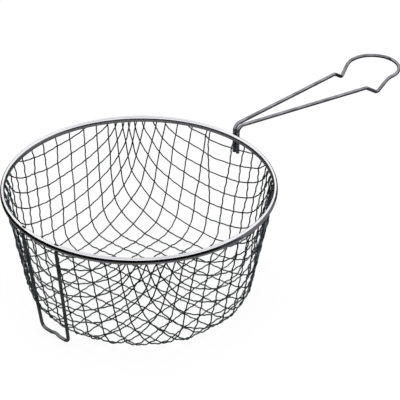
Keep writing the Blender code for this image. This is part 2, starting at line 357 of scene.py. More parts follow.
# %% Plated wires
PLATE_CLOUD_MM = 11.0
DIE_MARK_MM = 0.5
DIE_MARK_HEIGHT = 0.00004
PLATED = {
    "plated_handle_wire": ("#aaaaaf", "#7f7f84", 0.18, 0.30),
    "plated_leg_wire": ("#8f9293", "#6b6e70", 0.28, 0.42),
}

plated = {}
for name, (light, dark, smooth, dull) in PLATED.items():
    plated[name] = bpy.data.materials.new("nickel_" + name)
    tree = empty_tree(plated[name])
    place = add_node(tree, "ShaderNodeTexCoord").outputs["Object"]
    cloud = add_node(tree, "ShaderNodeTexNoise", {
        "Vector": place, "Scale": 1000 / PLATE_CLOUD_MM, "Detail": 4.0,
    })
    worn = add_node(tree, "ShaderNodeMapRange", {
        "Value": cloud.outputs["Fac"], "From Min": 0.38, "From Max": 0.64,
    }).outputs["Result"]
    tone = add_node(tree, "ShaderNodeMix", {
        0: worn, 6: linear(light), 7: linear(dark),
    }, data_type="RGBA")
    shine = add_node(tree, "ShaderNodeMapRange", {
        "Value": worn, "To Min": smooth, "To Max": dull,
    })
    marks = add_node(tree, "ShaderNodeTexNoise", {
        "Vector": place, "Scale": 1000 / DIE_MARK_MM, "Detail": 2.0,
    })
    bump = add_node(tree, "ShaderNodeBump", {
        "Height": marks.outputs["Fac"], "Strength": 0.2, "Distance": DIE_MARK_HEIGHT,
    })
    metal = add_node(tree, "ShaderNodeBsdfPrincipled", {
        "Base Color": tone.outputs[2], "Metallic": 1.0, "Roughness": shine.outputs["Result"],
        "Normal": bump.outputs["Normal"],
    })
    add_node(tree, "ShaderNodeOutputMaterial", {"Surface": metal.outputs["BSDF"]})
    print("made", plated[name].name)

# %% [markdown]
# ## Finish of the welds: heat-tinted steel
#
# A spot weld burns the plating off and leaves bare steel with a brown and grey scale.
# It is matt and rough beside the bright metal, so each weld shows as a small dark spot.

# %% Weld metal
SCALE_MM = 0.6
SCALE_LIGHT, SCALE_DARK = "#4b4743", "#2c2a28"
SCALE_ROUGHNESS = 0.6
SCALE_HEIGHT = 0.0001

weld_metal = bpy.data.materials.new("heat_tinted_weld")
tree = empty_tree(weld_metal)
place = add_node(tree, "ShaderNodeTexCoord").outputs["Object"]
scale = add_node(tree, "ShaderNodeTexNoise", {
    "Vector": place, "Scale": 1000 / SCALE_MM, "Detail": 3.0,
}).outputs["Fac"]
tint = add_node(tree, "ShaderNodeMapRange", {
    "Value": scale, "From Min": 0.35, "From Max": 0.65,
})
burnt = add_node(tree, "ShaderNodeMix", {
    0: tint.outputs["Result"], 6: linear(SCALE_LIGHT), 7: linear(SCALE_DARK),
}, data_type="RGBA")
pits = add_node(tree, "ShaderNodeBump", {
    "Height": scale, "Strength": 0.5, "Distance": SCALE_HEIGHT,
})
steel = add_node(tree, "ShaderNodeBsdfPrincipled", {
    "Base Color": burnt.outputs[2], "Metallic": 1.0, "Roughness": SCALE_ROUGHNESS,
    "Normal": pits.outputs["Normal"],
})
add_node(tree, "ShaderNodeOutputMaterial", {"Surface": steel.outputs["BSDF"]})
print("made", weld_metal.name)

# %% [markdown]
# ## The lines of the cloth
#
# Each CAD wire runs straight from crossing to crossing, with a ring of four corners at
# each. The crossings are what matters: a round wire can be grown on them. So the wires of
# both families are copied into one mesh, with a number that tells warp from weft.

# %% Copy the cloth's wires out of the frame
FAMILY = {"warp": 0, "weft": 1}
SAME_CORNER = 0.00002

cloth_nodes = {
    family: [name for name in sorted(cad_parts) if name.startswith(family)]
    for family in FAMILY
}
copies = bmesh.new()
family_mark = copies.verts.layers.int.new("family")
for family, names in cloth_nodes.items():
    for name in names:
        start = len(copies.verts)
        copies.from_mesh(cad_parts[name].data)
        copies.verts.ensure_lookup_table()
        for corner in copies.verts[start:]:
            corner[family_mark] = FAMILY[family]
bmesh.ops.remove_doubles(copies, verts=copies.verts, dist=SAME_CORNER)
cloth_copy = bpy.data.meshes.new("cloth_copy")
copies.to_mesh(cloth_copy)
copies.free()
print("wires:", {family: len(names) for family, names in cloth_nodes.items()})
print("corners:", len(cloth_copy.vertices))

# %% [markdown]
# A geometry tree draws each ring together into one point, and what is left is one line a
# wire.
#
# No real cloth is as even as a drawing. Pressing pushes the crossings a little to and fro,
# so a slow noise moves them. Both wires of a crossing move together, because the noise
# only reads where they are. It fades out at the rim, where the bead grips the ends, and
# does not lift or lower the floor.

# %% Draw each ring of corners together, and shake the crossings
RING_SIDE = 0.0008
SHAKE = 0.0022
SHAKE_SIZE = 0.016
SHAKE_FADE = 0.008

tree, given = new_tree("cloth_lines", {
    "Ring side": "length", "Shake": "length", "Shake size": "length",
    "Rim height": "length", "Fade": "length",
})
lines = add_node(tree, "GeometryNodeMergeByDistance", {
    "Geometry": given["Path"], "Distance": given["Ring side"],
}, mode="CONNECTED").outputs["Geometry"]
here = add_node(tree, "GeometryNodeInputPosition").outputs["Position"]
height = add_node(tree, "ShaderNodeSeparateXYZ", {"Vector": here}).outputs["Z"]
per_size = add_node(tree, "ShaderNodeMath", {
    0: 1.0, 1: given["Shake size"],
}, operation="DIVIDE").outputs["Value"]
cloud = add_node(tree, "ShaderNodeTexNoise", {
    "Vector": here, "Scale": per_size, "Detail": 1.0,
}).outputs["Color"]
either_way = add_node(tree, "ShaderNodeVectorMath", {
    0: cloud, 1: (0.5, 0.5, 0.5),
}, operation="SUBTRACT").outputs["Vector"]
below_rim = add_node(tree, "ShaderNodeMath", {
    0: given["Rim height"], 1: height,
}, operation="SUBTRACT").outputs["Value"]
held_at_rim = add_node(tree, "ShaderNodeMapRange", {
    "Value": below_rim, "From Max": given["Fade"],
}).outputs["Result"]
held_at_floor = add_node(tree, "ShaderNodeMapRange", {
    "Value": height, "From Max": given["Fade"],
}).outputs["Result"]
ways = add_node(tree, "ShaderNodeCombineXYZ", {"X": 1.0, "Y": 1.0, "Z": held_at_floor})
strength = add_node(tree, "ShaderNodeMath", {
    0: held_at_rim, 1: given["Shake"],
}, operation="MULTIPLY").outputs["Value"]
moved = add_node(tree, "ShaderNodeVectorMath", {
    0: either_way, 1: ways.outputs["Vector"],
}, operation="MULTIPLY").outputs["Vector"]
shaken = add_node(tree, "ShaderNodeVectorMath", {
    0: moved, "Scale": strength,
}, operation="SCALE").outputs["Vector"]
placed = add_node(tree, "GeometryNodeSetPosition", {"Geometry": lines, "Offset": shaken})
add_node(tree, "NodeGroupOutput", {"Piece": placed.outputs["Geometry"]})

cloth_lines = run_tree("cloth_lines", cloth_copy, tree, {
    "Ring side": RING_SIDE, "Shake": SHAKE, "Shake size": SHAKE_SIZE,
    "Rim height": rim_height, "Fade": SHAKE_FADE,
})
print("line points:", len(cloth_lines.data.vertices), "pieces:", len(cloth_lines.data.edges))

# %% [markdown]
# ## The number of each crossing
#
# A wire goes over its first neighbour, under the second, over the third and so on. If its
# crossings are numbered along it, even numbers lie outside and odd ones inside, and the
# number can drive a wave. So each line is walked from end to end. A line's end is a point
# with one neighbour.

# %% Walk the lines
def walk_lines(mesh):
    """Return the points of each line of a mesh, in order from one end to the other."""
    beside = {point.index: [] for point in mesh.vertices}
    for edge in mesh.edges:
        this, other = edge.vertices
        beside[this].append(other)
        beside[other].append(this)
    lines = []
    walked = set()
    for end, near in beside.items():
        if len(near) == 1 and end not in walked:
            line = [end]
            ahead = near
            while ahead:
                line.append(ahead[0])
                ahead = [point for point in beside[line[-1]] if point != line[-2]]
            walked.update(line)
            lines.append(line)
    return lines


lines = walk_lines(cloth_lines.data)
print("lines:", len(lines), "longest:", max(len(line) for line in lines), "points")

# %% [markdown]
# At each crossing the nearest point of the other family tells which way is outwards, and
# the point is moved to the middle between the two wires. The ends in the bead get the share
# of a cell that the wire still runs past its last crossing, and move outwards with the
# pressed bead.

# %% Number the crossings
points = [point.co.copy() for point in cloth_lines.data.vertices]
family_of = [mark.value for mark in cloth_lines.data.attributes["family"].data]
finders = {}
for number in FAMILY.values():
    members = [index for index, family in enumerate(family_of) if family == number]
    finders[number] = kdtree.KDTree(len(members))
    for index in members:
        finders[number].insert(points[index], index)
    finders[number].balance()

heart = axis + Vector((0, 0, rim_height))
middles = list(points)
outwards = [Vector((0, 0, 0))] * len(points)
turns = [0.0] * len(points)
even_weave = 0
for line in lines:
    sides = []
    for index in line[1:-1]:
        partner = finders[1 - family_of[index]].find(points[index])[0]
        across = partner - points[index]
        lies_outside = across.dot(points[index] - heart) < 0
        sides.append(lies_outside)
        outwards[index] = -across.normalized() if lies_outside else across.normalized()
        middles[index] = points[index] + across / 2
    even_weave += all(side != after for side, after in zip(sides, sides[1:]))
    first_turn = 0 if sides[0] else 1
    for count, index in enumerate(line[1:-1]):
        turns[index] = float(first_turn + count)
    for end, last, before, way in ((*line[:3], -1), (*line[:-4:-1], 1)):
        cell = (points[last] - points[before]).length
        share = min((points[end] - points[last]).length / cell, 1)
        turns[end] = turns[last] + way * share
        outwards[end] = outwards[last]
        half_gap = (points[last] - middles[last]).dot(outwards[last])
        middles[end] = points[end] - outwards[end] * half_gap * (1 - 2 * share)
        to_side = Vector((middles[end].x - axis.x, middles[end].y, 0)).normalized()
        middles[end] += to_side * (oval_ring - bead_ring)
print("lines that weave over and under all the way:", even_weave)

# %% [markdown]
# One wire on the handle's side of the bowl has been pushed aside below the rim, as happens
# when a full basket is hung on a hook. Its neighbours stayed where they were. The push is
# greatest at the rim and eases out downwards as a sine does. It moves both wires' points at
# each of its crossings, so that over and under still meet.

# %% Push one wire aside
PUSHED_ANGLE = math.radians(7.3)
PUSHED_WIDTH = math.radians(2.5)
PUSHED_BY = 0.0098
PUSHED_FROM = 0.029
PUSHED_POWER = 1.5

for index, middle in enumerate(middles):
    out = middle - axis
    near = abs(math.atan2(out.y, out.x) - PUSHED_ANGLE) < PUSHED_WIDTH
    if near and middle.z > PUSHED_FROM:
        share = min((middle.z - PUSHED_FROM) / (rim_height - PUSHED_FROM), 1)
        push = PUSHED_BY * math.sin(share * math.pi / 2) ** PUSHED_POWER
        middles[index] = middle + Vector((-out.y, out.x, 0)).normalized() * push
        print(f"pushed a point at height {middle.z:.4f} by {push:.4f}")

# %% [markdown]
# The bend from the floor to the wall is a little tighter on the real bowl than in the CAD
# model, which shows in its lower outline. So the crossings in the bend move away from the
# bend's centre line, most at half of the bend and not at all at its ends.

# %% Tighten the bend at the foot
FOOT_BEND = 0.0216
CLOTH_REACH = 0.00115
BEND_OUT = 0.0020

bend_turn = math.pi / 2 - WALL_LEAN
bend_middle = Vector((math.sin(bend_turn / 2), -math.cos(bend_turn / 2)))
bend_ring = foot_radius - FOOT_BEND * math.tan(bend_turn / 2)
bend_height = CLOTH_REACH + FOOT_BEND
tightened = 0
for index, middle in enumerate(middles):
    out = Vector((middle.x - axis.x, middle.y, 0))
    bend = math.atan2(out.length - bend_ring, bend_height - middle.z)
    if 0 < bend < bend_turn and middle.z < bend_height:
        push = bend_middle * BEND_OUT * math.sin(math.pi * bend / bend_turn) ** 2
        middles[index] = middle + out.normalized() * push.x + Vector((0, 0, push.y))
        tightened += 1
print("points in the bend:", tightened)

# %% [markdown]
# The points now take their new places. What was worked out for each one is written on it as
# an attribute: which way is outwards, its number, and whether another wire crosses there.
# The trees below read these by name.

# %% Write the marks on the points
for point, middle in zip(cloth_lines.data.vertices, middles):
    point.co = middle
end_points = {end for line in lines for end in (line[0], line[-1])}
crosses = [index not in end_points for index in range(len(points))]
marks = cloth_lines.data.attributes
outward_values = [value for outward in outwards for value in outward]
marks.new("outward", "FLOAT_VECTOR", "POINT").data.foreach_set("vector", outward_values)
marks.new("turn", "FLOAT", "POINT").data.foreach_set("value", turns)
marks.new("crossing", "BOOLEAN", "POINT").data.foreach_set("value", crosses)
print("points that another wire crosses:", sum(crosses), "ends:", len(end_points))

# %% [markdown]
# ## The crimped wires
#
# The wires of such cloth are pressed into waves between toothed wheels before they are
# woven. A deep wave holds each crossing. Where the openings are large beside the wire, two
# shallow waves are pressed between the crossings as well, which stiffens the long bare
# stretch. That is what makes these wires look restless.
#
# Two cosines of the crossing's number give that wave: a slow one that changes sides at each
# crossing, and one that is three times as fast. Their shares are chosen so that they add up
# to one height at a crossing, and to the other, on the far side, a third of a cell on.
#
# The tree draws a smooth spline through the middles of the crossings, moves its points
# outwards and inwards by the wave, and sweeps a circle along it. It keeps one family at a
# time, because each family is one piece.

# %% A tree that crimps wires
tree, given = new_tree("crimped_wires", {
    "Family": "count", "Wire diameter": "length", "Crimp at crossings": "length",
    "Crimp between": "length", "Wire sides": "count", "Steps": "count", "Finish": "finish",
})
mark = add_node(tree, "GeometryNodeInputNamedAttribute", {"Name": "family"}, data_type="INT")
wanted = add_node(tree, "FunctionNodeCompare", {
    2: mark.outputs["Attribute"], 3: given["Family"],
}, data_type="INT", operation="EQUAL")
chosen = add_node(tree, "GeometryNodeSeparateGeometry", {
    "Geometry": given["Path"], "Selection": wanted.outputs["Result"],
}).outputs["Selection"]
curve = add_node(tree, "GeometryNodeMeshToCurve", {"Mesh": chosen})
spline = add_node(tree, "GeometryNodeCurveSplineType", {
    "Curve": curve.outputs["Curve"],
}, spline_type="BEZIER")
eased = add_node(tree, "GeometryNodeCurveSetHandles", {
    "Curve": spline.outputs["Curve"],
}, handle_type="AUTO")
stepped = add_node(tree, "GeometryNodeSetSplineResolution", {
    "Geometry": eased.outputs["Curve"], "Resolution": given["Steps"],
})
fine = add_node(tree, "GeometryNodeResampleCurve", {
    "Curve": stepped.outputs["Geometry"],
}, mode="EVALUATED")
turn = add_node(tree, "GeometryNodeInputNamedAttribute", {"Name": "turn"}, data_type="FLOAT")
outward = add_node(tree, "GeometryNodeInputNamedAttribute", {
    "Name": "outward",
}, data_type="FLOAT_VECTOR").outputs["Attribute"]
less = add_node(tree, "ShaderNodeMath", {
    0: given["Crimp at crossings"], 1: given["Crimp between"],
}, operation="SUBTRACT")
more = add_node(tree, "ShaderNodeMath", {
    0: given["Crimp between"], 1: 2.0, 2: given["Crimp at crossings"],
}, operation="MULTIPLY_ADD")
rise = 0.0
for height, share, speed in ((less, 2 / 3, math.pi), (more, 1 / 3, 3 * math.pi)):
    angle = add_node(tree, "ShaderNodeMath", {
        0: turn.outputs["Attribute"], 1: speed,
    }, operation="MULTIPLY").outputs["Value"]
    wave = add_node(tree, "ShaderNodeMath", {0: angle}, operation="COSINE").outputs["Value"]
    size = add_node(tree, "ShaderNodeMath", {
        0: height.outputs["Value"], 1: share,
    }, operation="MULTIPLY").outputs["Value"]
    rise = add_node(tree, "ShaderNodeMath", {
        0: wave, 1: size, 2: rise,
    }, operation="MULTIPLY_ADD").outputs["Value"]
moved = add_node(tree, "ShaderNodeVectorMath", {0: outward, "Scale": rise}, operation="SCALE")
waved = add_node(tree, "GeometryNodeSetPosition", {
    "Geometry": fine.outputs["Curve"], "Offset": moved.outputs["Vector"],
})
sweep_wire(tree, given, waved.outputs["Geometry"])
crimped_wires_tree = tree
print("crimped_wires has", len(tree.nodes), "nodes")

# %% Grow both families
MESH_WIRE = 0.0010
CRIMP_AT_CROSSINGS = 0.00052
CRIMP_BETWEEN = 0.0002
MESH_WIRE_SIDES = 8
MESH_WIRE_STEPS = 12

for family, number in FAMILY.items():
    wires = run_tree(family + "_wires", cloth_lines.data, crimped_wires_tree, {
        "Family": number, "Wire diameter": MESH_WIRE,
        "Crimp at crossings": CRIMP_AT_CROSSINGS, "Crimp between": CRIMP_BETWEEN,
        "Wire sides": MESH_WIRE_SIDES, "Steps": MESH_WIRE_STEPS, "Finish": tinned_wire,
    })
    fit_piece(wires, "tinned_wire", *cloth_nodes[family])

# %% [markdown]
# ## Tin at the crossings
#
# The dip fills the corners where two wires cross, and ties them with a drop of tin. The
# drops are the same everywhere, so they are one small shape set on many points: on the
# crossings of the weft, which are also those of the warp. Each is turned and sized by a
# random value with a fixed seed.

# %% Set a drop of tin on each crossing
DROP_RADIUS = 0.00062
ANY_TURN = (6.28, 6.28, 6.28)
SMALLEST, LARGEST = (0.86, 0.86, 0.86), (1.1, 1.1, 1.1)

tree, given = new_tree("tin_drops", {"Drop radius": "length", "Finish": "finish"})
mark = add_node(tree, "GeometryNodeInputNamedAttribute", {"Name": "family"}, data_type="INT")
is_weft = add_node(tree, "FunctionNodeCompare", {
    2: mark.outputs["Attribute"], 3: FAMILY["weft"],
}, data_type="INT", operation="EQUAL")
is_crossed = add_node(tree, "GeometryNodeInputNamedAttribute", {
    "Name": "crossing",
}, data_type="BOOLEAN").outputs["Attribute"]
both = add_node(tree, "FunctionNodeBooleanMath", {
    0: is_weft.outputs["Result"], 1: is_crossed,
}, operation="AND")
drop = add_node(tree, "GeometryNodeMeshIcoSphere", {
    "Radius": given["Drop radius"], "Subdivisions": 2,
})
turned = add_node(tree, "FunctionNodeRandomValue", {
    1: ANY_TURN, "Seed": 4,
}, data_type="FLOAT_VECTOR")
swell = add_node(tree, "FunctionNodeRandomValue", {
    0: SMALLEST, 1: LARGEST, "Seed": 9,
}, data_type="FLOAT_VECTOR")
drops = add_node(tree, "GeometryNodeInstanceOnPoints", {
    "Points": given["Path"], "Selection": both.outputs["Boolean"],
    "Instance": drop.outputs["Mesh"],
    "Rotation": turned.outputs[0], "Scale": swell.outputs[0],
})
hand_out(tree, given, drops.outputs["Instances"])

crossing_tin = run_tree("crossing_tin", cloth_lines.data, tree, {
    "Drop radius": DROP_RADIUS, "Finish": tinned_wire,
})
fit_piece(crossing_tin, "tinned_wire")
bpy.data.objects.remove(cloth_lines)

# %% [markdown]
# ## The rolled rim
#
# The bead's section is a ring of sheet metal with a slot on its underside, which grips the
# cloth. The lips get a half-round edge, because a sheared strip is dressed before it is
# rolled, and that edge is what catches the light. The section is drawn as a round bead,
# like the CAD's, and pressed to its oval when it is turned.

# %% The bead's section
BEAD_SHEET = 0.0006
SLOT_HALF_WIDTH = 0.0016
ARC_STEPS = 40
LIP_STEPS = 5

middle_radius = bead_radius - BEAD_SHEET / 2
inner_radius = bead_radius - BEAD_SHEET
slot_half_angle = math.asin(SLOT_HALF_WIDTH / middle_radius)
slot = -math.pi / 2 - WALL_LEAN
arc_start = slot + 2 * math.pi - slot_half_angle
arc_end = slot + slot_half_angle
arc = [arc_start + (arc_end - arc_start) * step / ARC_STEPS for step in range(ARC_STEPS + 1)]
outer_arc = [(bead_radius * math.cos(angle), bead_radius * math.sin(angle)) for angle in arc]
inner_arc = [(inner_radius * math.cos(angle), inner_radius * math.sin(angle))
             for angle in reversed(arc)]
section = []
for strip_face, lip_angle, way in ((outer_arc, arc_end, 1), (inner_arc, arc_start, -1)):
    section += strip_face
    outward = Vector((math.cos(lip_angle), math.sin(lip_angle)))
    along = Vector((-math.sin(lip_angle), math.cos(lip_angle)))
    lip = Vector((middle_radius * math.cos(lip_angle), middle_radius * math.sin(lip_angle)))
    for step in range(1, LIP_STEPS):
        turn = math.pi * step / LIP_STEPS
        edge = outward * way * math.cos(turn) - along * way * math.sin(turn)
        section.append(tuple(lip + edge * BEAD_SHEET / 2))
print("points round the bead's section:", len(section))

# %% [markdown]
# The shape is a plain turning, so the section is repeated round the axis in mesh code, and
# each point is joined to the next one along the section and round the rim.

# %% Turn the bead
RIM_STEPS = 288

corners = []
for step in range(RIM_STEPS):
    angle = 2 * math.pi * step / RIM_STEPS
    for out, up in section:
        reach = oval_ring + out * RIM_WIDTH / BEAD_DIAMETER
        corners.append((axis.x + reach * math.cos(angle), reach * math.sin(angle),
                        rim_height + up * RIM_TALL / BEAD_DIAMETER))
count = len(section)
faces = []
for step in range(RIM_STEPS):
    this, ahead = step * count, (step + 1) % RIM_STEPS * count
    for index in range(count):
        after = (index + 1) % count
        faces.append((this + index, this + after, ahead + after, ahead + index))
rim_mesh = bpy.data.meshes.new("rim_bead")
rim_mesh.from_pydata(corners, [], faces)
rim_mesh.polygons.foreach_set("use_smooth", [True] * len(faces))
rim_mesh.materials.append(polished_strip)
turned = bmesh.new()
turned.from_mesh(rim_mesh)
bmesh.ops.recalc_face_normals(turned, faces=turned.faces)
turned.to_mesh(rim_mesh)
turned.free()
fit_piece(put_in_scene("rim_bead", rim_mesh), "polished_strip", "rolled_rim")

# %% [markdown]
# ## Bent wires
#
# The handle and the leg are each one wire, bent at a few corners over round pins. So each
# is described as its maker would: the corners, and the radius of the pin at each. The tree
# rounds every corner by its own radius and sweeps a circle along the path.

# %% A tree that bends a wire
BENT_WIRE_SIDES = 20
BEND_STEPS = 10

tree, given = new_tree("bent_wire", {
    "Wire diameter": "length", "Wire sides": "count", "Bend steps": "count",
    "Finish": "finish",
})
curve = add_node(tree, "GeometryNodeMeshToCurve", {"Mesh": given["Path"]})
pin = add_node(tree, "GeometryNodeInputNamedAttribute", {
    "Name": "pin_radius",
}, data_type="FLOAT")
bent = add_node(tree, "GeometryNodeFilletCurve", {
    "Curve": curve.outputs["Curve"], "Count": given["Bend steps"],
    "Radius": pin.outputs["Attribute"], "Limit Radius": True,
}, mode="POLY")
sweep_wire(tree, given, bent.outputs["Curve"])
bent_wire_tree = tree


def bend_wire(name, half, diameter, finish, askew=0.0):
    """Bend a wire from half of its corners, the other half being its mirror image.

    A corner is its x, y and z, and the radius of its pin. The wire may have been welded on a
    little askew, turned round the bowl's axis. The turn is whole at the first corner's
    height, and less below.
    """
    other = [(x, -y, z, radius) for x, y, z, radius in reversed(half) if y]
    route = half + other
    top = half[0][2]
    corners = []
    for x, y, z, _radius in route:
        turned = Quaternion((0, 0, 1), askew * z / top)
        corners.append(axis + turned @ Vector((x, y, z)))
    path = bpy.data.meshes.new(name)
    path.from_pydata(corners, [(index, index + 1) for index in range(len(route) - 1)], [])
    pins = path.attributes.new("pin_radius", "FLOAT", "POINT")
    pins.data.foreach_set("value", [radius for *_place, radius in route])
    return run_tree(name, path, bent_wire_tree, {
        "Wire diameter": diameter, "Wire sides": BENT_WIRE_SIDES, "Bend steps": BEND_STEPS,
        "Finish": finish,
    })


print("bent_wire has", len(tree.nodes), "nodes")

# %% [markdown]
# ## The handle
#
# Both ends of the wire stand side by side on the outside of the rim. They rise past it,
# turn outwards and open into two long arms. Near the grip each arm has a knee and a dip,
# which stops the hand, or hooks over the edge of a pan. The grip is a half circle. The wire
# is a shade thinner here than in the CAD model, its stubs stand closer together, and the
# knee and the dip are those of the photograph.

# %% Handle
SEAT_GAP = 0.0003
HANDLE_WIRE = 0.0028
NECK_SPACING = 0.0034
NECK_DROP = 0.0142
NECK_RISE = 0.0089
NECK_PIN = 0.0050
ARM_LENGTH = 0.1331
ARM_DROP = 0.0126
KNEE_WIDTH = 0.0332
KNEE_PIN = 0.0060
DIP_LENGTH = 0.0216
DIP_LEAD = 0.0112
DIP_DEPTH = 0.0074
DIP_PIN = 0.0030
GRIP_RISE = 0.0018
GRIP_RADIUS = 0.0206
GRIP_LENGTH = 0.0275
GRIP_PIN = 0.0110

neck_ring = rim_radius + SEAT_GAP + HANDLE_WIRE / 2
neck_x = math.sqrt(neck_ring ** 2 - (NECK_SPACING / 2) ** 2)
knee_x = neck_x + ARM_LENGTH
knee_z = rim_height + NECK_RISE - ARM_DROP
dip_y = KNEE_WIDTH / 2 + (GRIP_RADIUS - KNEE_WIDTH / 2) * DIP_LEAD / DIP_LENGTH
grip_x = knee_x + DIP_LENGTH
grip_z = knee_z + GRIP_RISE
handle_wire = bend_wire("handle_wire", [
    (neck_x, NECK_SPACING / 2, rim_height - NECK_DROP, 0),
    (neck_x, NECK_SPACING / 2, rim_height + NECK_RISE, NECK_PIN),
    (knee_x, KNEE_WIDTH / 2, knee_z, KNEE_PIN),
    (knee_x + DIP_LEAD, dip_y, knee_z - DIP_DEPTH, DIP_PIN),
    (grip_x, GRIP_RADIUS, grip_z, GRIP_PIN),
    (grip_x + GRIP_LENGTH, GRIP_RADIUS, grip_z, GRIP_RADIUS),
], HANDLE_WIRE, plated["plated_handle_wire"])
fit_piece(handle_wire, "plated_handle_wire", "handle")

# %% [markdown]
# ## The draining leg
#
# The leg is a U of thinner wire. Its two ends are welded under the bead, and its bar stands
# on the table clear of the cloth. The bar has a low arch, so that it rests on two feet. Its
# top was welded on a little to one side, so the wire leans by about two millimetres.

# %% Leg
LEG_WIRE = 0.0025
LEG_TOP_WIDTH = 0.0335
LEG_ASKEW = math.radians(1.3)
LEG_FOOT_WIDTH = 0.0278
LEG_STANDOFF = 0.0043
LEG_BEND = 0.0045
LEG_ARCH_WIDTH = 0.0090
LEG_ARCH_RISE = 0.0013

leg_reach = (CLOTH_REACH + SEAT_GAP + LEG_WIRE / 2) / math.cos(WALL_LEAN)
leg_ring = bead_ring - bead_radius * math.tan(WALL_LEAN) + leg_reach
leg_overhang = leg_ring - LEG_WIRE / 2 - bead_ring
leg_top = rim_height - math.sqrt((bead_radius + SEAT_GAP) ** 2 - leg_overhang ** 2)
leg_top_x = -math.sqrt(leg_ring ** 2 - (LEG_TOP_WIDTH / 2) ** 2)
bar_x = -(foot_radius + LEG_STANDOFF)
leg_wire = bend_wire("leg_wire", [
    (leg_top_x, LEG_TOP_WIDTH / 2, leg_top, 0),
    (bar_x, LEG_FOOT_WIDTH / 2, LEG_WIRE / 2, LEG_BEND),
    (bar_x, LEG_ARCH_WIDTH / 2, LEG_WIRE / 2, LEG_BEND),
    (bar_x, 0, LEG_WIRE / 2 + LEG_ARCH_RISE, LEG_BEND),
], LEG_WIRE, plated["plated_leg_wire"], LEG_ASKEW)
fit_piece(leg_wire, "plated_leg_wire", "draining_leg")

# %% [markdown]
# ## The welds
#
# Each stub of the handle is fused to the bead and to the other stub, and each end of the leg
# to the underside of the bead. Above each end of the leg the electrode has also left a small
# dark dent on the crest of the bead. A weld is a lump that no two times looks the same, so
# each is a ball, pressed flat by its three sizes and roughened with its own noise.

# %% Weld helpers
WELD_LUMP_MM = 0.8
WELD_UNEVEN = 0.22


def weld(name, place, angle, size):
    """Add a lump of weld at a place. Its sizes run out from the axis, round it, and up."""
    lump = bmesh.new()
    bmesh.ops.create_icosphere(lump, subdivisions=3, radius=1)
    out = Vector((math.cos(angle), math.sin(angle), 0))
    around = Vector((-math.sin(angle), math.cos(angle), 0))
    for corner in lump.verts:
        way = corner.co.copy()
        rise = Vector((0, 0, way.z * size[2]))
        spot = place + out * way.x * size[0] + around * way.y * size[1] + rise
        swell = 1 + WELD_UNEVEN * noise.noise(spot * 1000 / WELD_LUMP_MM)
        corner.co = place + (spot - place) * swell
    for face in lump.faces:
        face.smooth = True
    mesh = bpy.data.meshes.new(name)
    lump.to_mesh(mesh)
    lump.free()
    mesh.materials.append(weld_metal)
    return put_in_scene(name, mesh)


def on_bead(angle, tilt, lift=0.0):
    """Return a place on the bead, by its angle round the axis and its tilt up from outside."""
    reach = oval_ring + (RIM_WIDTH / 2 + lift) * math.cos(tilt)
    return axis + Vector((reach * math.cos(angle), reach * math.sin(angle),
                          rim_height + (RIM_TALL / 2 + lift) * math.sin(tilt)))


leg_angle = math.asin(LEG_TOP_WIDTH / 2 / leg_ring)
neck_angle = math.asin(NECK_SPACING / 2 / neck_ring)
print(f"welds at {math.degrees(neck_angle):.2f} and {math.degrees(leg_angle):.2f} degrees")

# %% Welds
BETWEEN_SIZE = (0.0011, 0.0009, 0.0075)
STUB_SIZE = (0.0006, 0.0013, 0.0019)
LEG_SIZE = (0.0012, 0.0015, 0.0008)
MARK_SIZE = (0.0008, 0.0021, 0.0004)
LEG_TILT = math.radians(-62)
MARK_TILT = math.radians(82)

between = weld("handle_weld_between", axis + Vector((neck_x, 0, rim_height - NECK_DROP / 3)),
               0, BETWEEN_SIZE)
fit_piece(between, "plated_handle_wire")
for side, sign in (("left", 1), ("right", -1)):
    stub_angle = sign * neck_angle
    stub = weld("handle_weld_" + side, on_bead(stub_angle, 0, SEAT_GAP / 2),
                stub_angle, STUB_SIZE)
    fit_piece(stub, "plated_handle_wire")
    top_angle = math.pi + LEG_ASKEW - sign * leg_angle
    seat = weld("leg_weld_" + side, on_bead(top_angle, LEG_TILT, SEAT_GAP / 2),
                top_angle, LEG_SIZE)
    fit_piece(seat, "plated_leg_wire")
    dent = weld("electrode_mark_" + side, on_bead(top_angle, MARK_TILT), top_angle, MARK_SIZE)
    fit_piece(dent, "polished_strip")

# %% [markdown]
# ## Floor and light
#
# The photograph stands on plain white with no edge and almost no shadow. The floor is
# white, and to the camera it also glows a little, so that it reaches white without more
# light on the basket, while the shadow under the basket stays. The world does the same: it
# is dimmer as a lamp than as a backdrop. Reflections see both as the camera does. One soft
# lamp overhead adds the faint shadow.

# %% Floor
FLOOR_SIZE = 9.0
FLOOR_DROP = 0.0006
FLOOR_GLOW = 0.88


def flat_piece(name, corners, faces, material):
    """Add staged faces, which are not part of the basket."""
    mesh = bpy.data.meshes.new(name)
    mesh.from_pydata(corners, [], faces)
    mesh.materials.append(material)
    piece = put_in_scene(name, mesh)
    return piece


def seen_directly(tree):
    """Return 1 for rays of the camera, a reflection or glass, and 0 for scattered light."""
    rays = add_node(tree, "ShaderNodeLightPath").outputs
    shows = rays["Is Camera Ray"]
    for other in ("Is Glossy Ray", "Is Transmission Ray"):
        shows = add_node(tree, "ShaderNodeMath", {
            0: shows, 1: rays[other],
        }, operation="MAXIMUM").outputs["Value"]
    return shows


